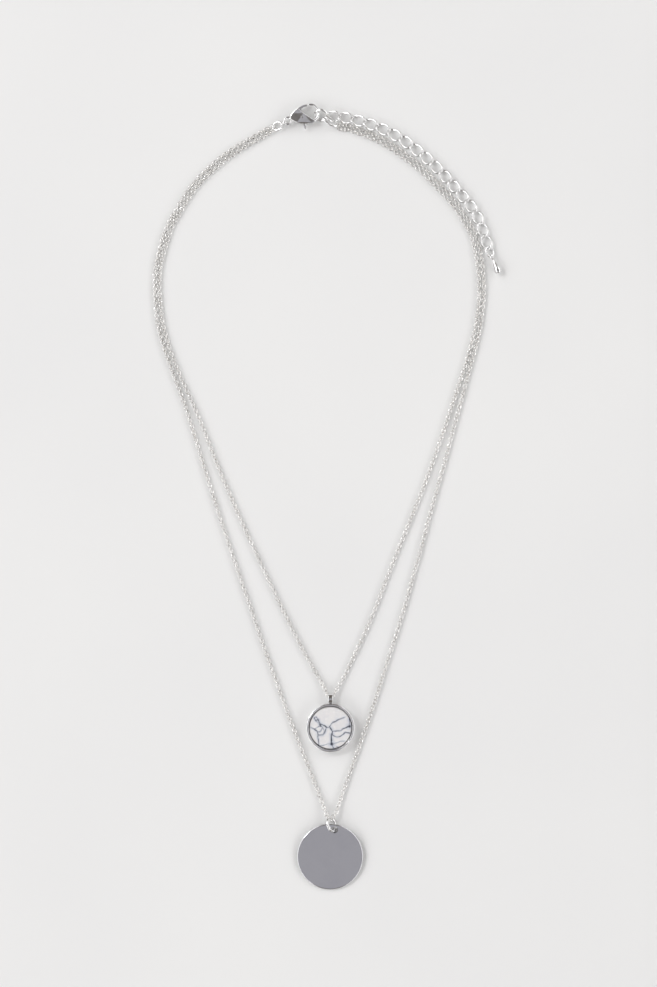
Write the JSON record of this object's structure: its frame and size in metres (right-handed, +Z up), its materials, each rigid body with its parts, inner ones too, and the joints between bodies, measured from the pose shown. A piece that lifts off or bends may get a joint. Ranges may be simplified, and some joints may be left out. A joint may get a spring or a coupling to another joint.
{
  "type": "layered pendant necklace",
  "caption": "Two fine cable chains on one lobster clasp: a bezel-set howlite pendant on the short one, a plain disc on the long one, and a link extender.",
  "frame": {"origin": "on the table under the middle of the necklace's whole box", "axes": "+Z up off the table, +Y from the pendants towards the clasp, +X to the extender's side"},
  "size_m": [0.1056, 0.238, 0.0043],
  "materials": {
    "polished_silver": "polished",
    "chain_silver": "satin",
    "mirror_steel": "polished",
    "steel": "satin",
    "howlite": "polished"
  },
  "bodies": {
    "chains": {"short_chain_left": "chain_silver", "short_chain_right": "chain_silver", "long_chain_left": "chain_silver", "long_chain_right": "chain_silver"},
    "left_ring": {"left_end_ring": "polished_silver"},
    "eye_ring": {"clasp_ring": "polished_silver"},
    "right_ring": {"right_end_ring": "polished_silver"},
    "clasp": {"clasp_body": "polished_silver", "clasp_pivot_pin": "steel", "clasp_spring": "steel"},
    "lever": {"clasp_lever": "polished_silver"},
    "hook_link": {"hook_ring": "polished_silver"},
    "link_01": {"extender_link_01": "polished_silver"},
    "link_02": {"extender_link_02": "polished_silver"},
    "link_03": {"extender_link_03": "polished_silver"},
    "link_04": {"extender_link_04": "polished_silver"},
    "link_05": {"extender_link_05": "polished_silver"},
    "link_06": {"extender_link_06": "polished_silver"},
    "link_07": {"extender_link_07": "polished_silver"},
    "link_08": {"extender_link_08": "polished_silver"},
    "link_09": {"extender_link_09": "polished_silver"},
    "link_10": {"extender_link_10": "polished_silver"},
    "link_11": {"extender_link_11": "polished_silver"},
    "link_12": {"extender_link_12": "polished_silver"},
    "link_13": {"extender_link_13": "polished_silver"},
    "link_14": {"extender_link_14": "polished_silver"},
    "link_15": {"extender_link_15": "polished_silver"},
    "link_16": {"extender_link_16": "polished_silver"},
    "link_17": {"extender_link_17": "polished_silver"},
    "tail_ring": {"extender_end_ring": "polished_silver"},
    "drop": {"drop_charm": "polished_silver"},
    "stone_pendant": {"stone_bezel": "polished_silver", "howlite_stone": "howlite"},
    "disc_ring": {"disc_jump_ring": "polished_silver"},
    "disc": {"disc_pendant": "mirror_steel"}
  },
  "joints": [
    {"name": "left_ring_roll", "type": "hinge", "parent": "chains", "child": "left_ring", "pos_m": [-0.0151, 0.11226, 0.00122], "axis": [0.8676, 0.4345, 0.2419], "range_deg": [-8, 10]},
    {"name": "eye_ring_roll", "type": "hinge", "parent": "chains", "child": "eye_ring", "pos_m": [-0.01337, 0.11313, 0.00152], "axis": [0.8855, 0.4434, 0.1392], "range_deg": [-8, 8]},
    {"name": "clasp_swing", "type": "hinge", "parent": "chains", "child": "clasp", "pos_m": [-0.01289, 0.11337, 0.0016], "axis": [0, 0, 1], "range_deg": [-2, 1]},
    {"name": "lever_open", "type": "hinge", "parent": "clasp", "child": "lever", "pos_m": [-0.00765, 0.11489, 0.0016], "axis": [0, 0, -1], "range_deg": [0, 24], "stiffness_Nm_per_rad": 0.004, "springref_deg": -11.46, "deforming": ["clasp_spring"]},
    {"name": "right_ring_roll", "type": "hinge", "parent": "chains", "child": "right_ring", "pos_m": [0.00092, 0.1137, 0.00116], "axis": [0.8749, -0.483, -0.0349], "range_deg": [-10, 10]},
    {"name": "hook_ring_swing", "type": "hinge", "parent": "chains", "child": "hook_link", "pos_m": [0, 0.11524, 0.0019], "axis": [0, 0, 1], "range_deg": [0, 2]},
    {"name": "link_01_swing", "type": "hinge", "parent": "hook_link", "child": "link_01", "pos_m": [-0.00034, 0.11507, 0.0019], "axis": [0, 0, 1], "range_deg": [0, 12]},
    {"name": "link_02_swing", "type": "hinge", "parent": "link_01", "child": "link_02", "pos_m": [0.0036, 0.1151, 0.00131], "axis": [0, 0, 1], "range_deg": [0, 12]},
    {"name": "link_03_swing", "type": "hinge", "parent": "link_02", "child": "link_03", "pos_m": [0.0075, 0.11443, 0.00087], "axis": [0, 0, 1], "range_deg": [0, 12]},
    {"name": "link_04_swing", "type": "hinge", "parent": "link_03", "child": "link_04", "pos_m": [0.01135, 0.11344, 0.00087], "axis": [0, 0, 1], "range_deg": [0, 12]},
    {"name": "link_05_swing", "type": "hinge", "parent": "link_04", "child": "link_05", "pos_m": [0.01509, 0.11212, 0.00087], "axis": [0, 0, 1], "range_deg": [0, 12]},
    {"name": "link_06_swing", "type": "hinge", "parent": "link_05", "child": "link_06", "pos_m": [0.01874, 0.11055, 0.00087], "axis": [0, 0, 1], "range_deg": [0, 12]},
    {"name": "link_07_swing", "type": "hinge", "parent": "link_06", "child": "link_07", "pos_m": [0.0222, 0.10859, 0.00087], "axis": [0, 0, 1], "range_deg": [0, 12]},
    {"name": "link_08_swing", "type": "hinge", "parent": "link_07", "child": "link_08", "pos_m": [0.02543, 0.10628, 0.00087], "axis": [0, 0, 1], "range_deg": [0, 12]},
    {"name": "link_09_swing", "type": "hinge", "parent": "link_08", "child": "link_09", "pos_m": [0.02857, 0.10385, 0.00087], "axis": [0, 0, 1], "range_deg": [0, 12]},
    {"name": "link_10_swing", "type": "hinge", "parent": "link_09", "child": "link_10", "pos_m": [0.03158, 0.10126, 0.00087], "axis": [0, 0, 1], "range_deg": [0, 12]},
    {"name": "link_11_swing", "type": "hinge", "parent": "link_10", "child": "link_11", "pos_m": [0.03437, 0.09843, 0.00087], "axis": [0, 0, 1], "range_deg": [0, 12]},
    {"name": "link_12_swing", "type": "hinge", "parent": "link_11", "child": "link_12", "pos_m": [0.03707, 0.09552, 0.00087], "axis": [0, 0, 1], "range_deg": [0, 12]},
    {"name": "link_13_swing", "type": "hinge", "parent": "link_12", "child": "link_13", "pos_m": [0.03963, 0.09249, 0.00087], "axis": [0, 0, 1], "range_deg": [0, 12]},
    {"name": "link_14_swing", "type": "hinge", "parent": "link_13", "child": "link_14", "pos_m": [0.04227, 0.08952, 0.00087], "axis": [0, 0, 1], "range_deg": [0, 12]},
    {"name": "link_15_swing", "type": "hinge", "parent": "link_14", "child": "link_15", "pos_m": [0.0447, 0.08638, 0.00087], "axis": [0, 0, 1], "range_deg": [0, 12]},
    {"name": "link_16_swing", "type": "hinge", "parent": "link_15", "child": "link_16", "pos_m": [0.04644, 0.08281, 0.00087], "axis": [0, 0, 1], "range_deg": [0, 12]},
    {"name": "link_17_swing", "type": "hinge", "parent": "link_16", "child": "link_17", "pos_m": [0.04766, 0.07903, 0.00087], "axis": [0, 0, 1], "range_deg": [0, 12]},
    {"name": "tail_ring_swing", "type": "hinge", "parent": "link_17", "child": "tail_ring", "pos_m": [0.04875, 0.0753, 0.00089], "axis": [0, 0, 1], "range_deg": [-12, 12]},
    {"name": "drop_swing", "type": "hinge", "parent": "tail_ring", "child": "drop", "pos_m": [0.04955, 0.07314, 0.00107], "axis": [0, 0, 1], "range_deg": [-12, 12]},
    {"name": "stone_pendant_swing", "type": "hinge", "parent": "chains", "child": "stone_pendant", "pos_m": [0.00095, -0.06056, 0.0016], "axis": [-1, 0, 0], "range_deg": [0, 100]},
    {"name": "disc_ring_swing", "type": "hinge", "parent": "chains", "child": "disc_ring", "pos_m": [0.00085, -0.0978, 0.0021], "axis": [-1, 0, 0], "range_deg": [0, 100]},
    {"name": "disc_turn", "type": "hinge", "parent": "disc_ring", "child": "disc", "pos_m": [0.00218, -0.10078, 0.00153], "axis": [0, -0.0596, 0.9982], "range_deg": [-30, 30]}
  ]
}
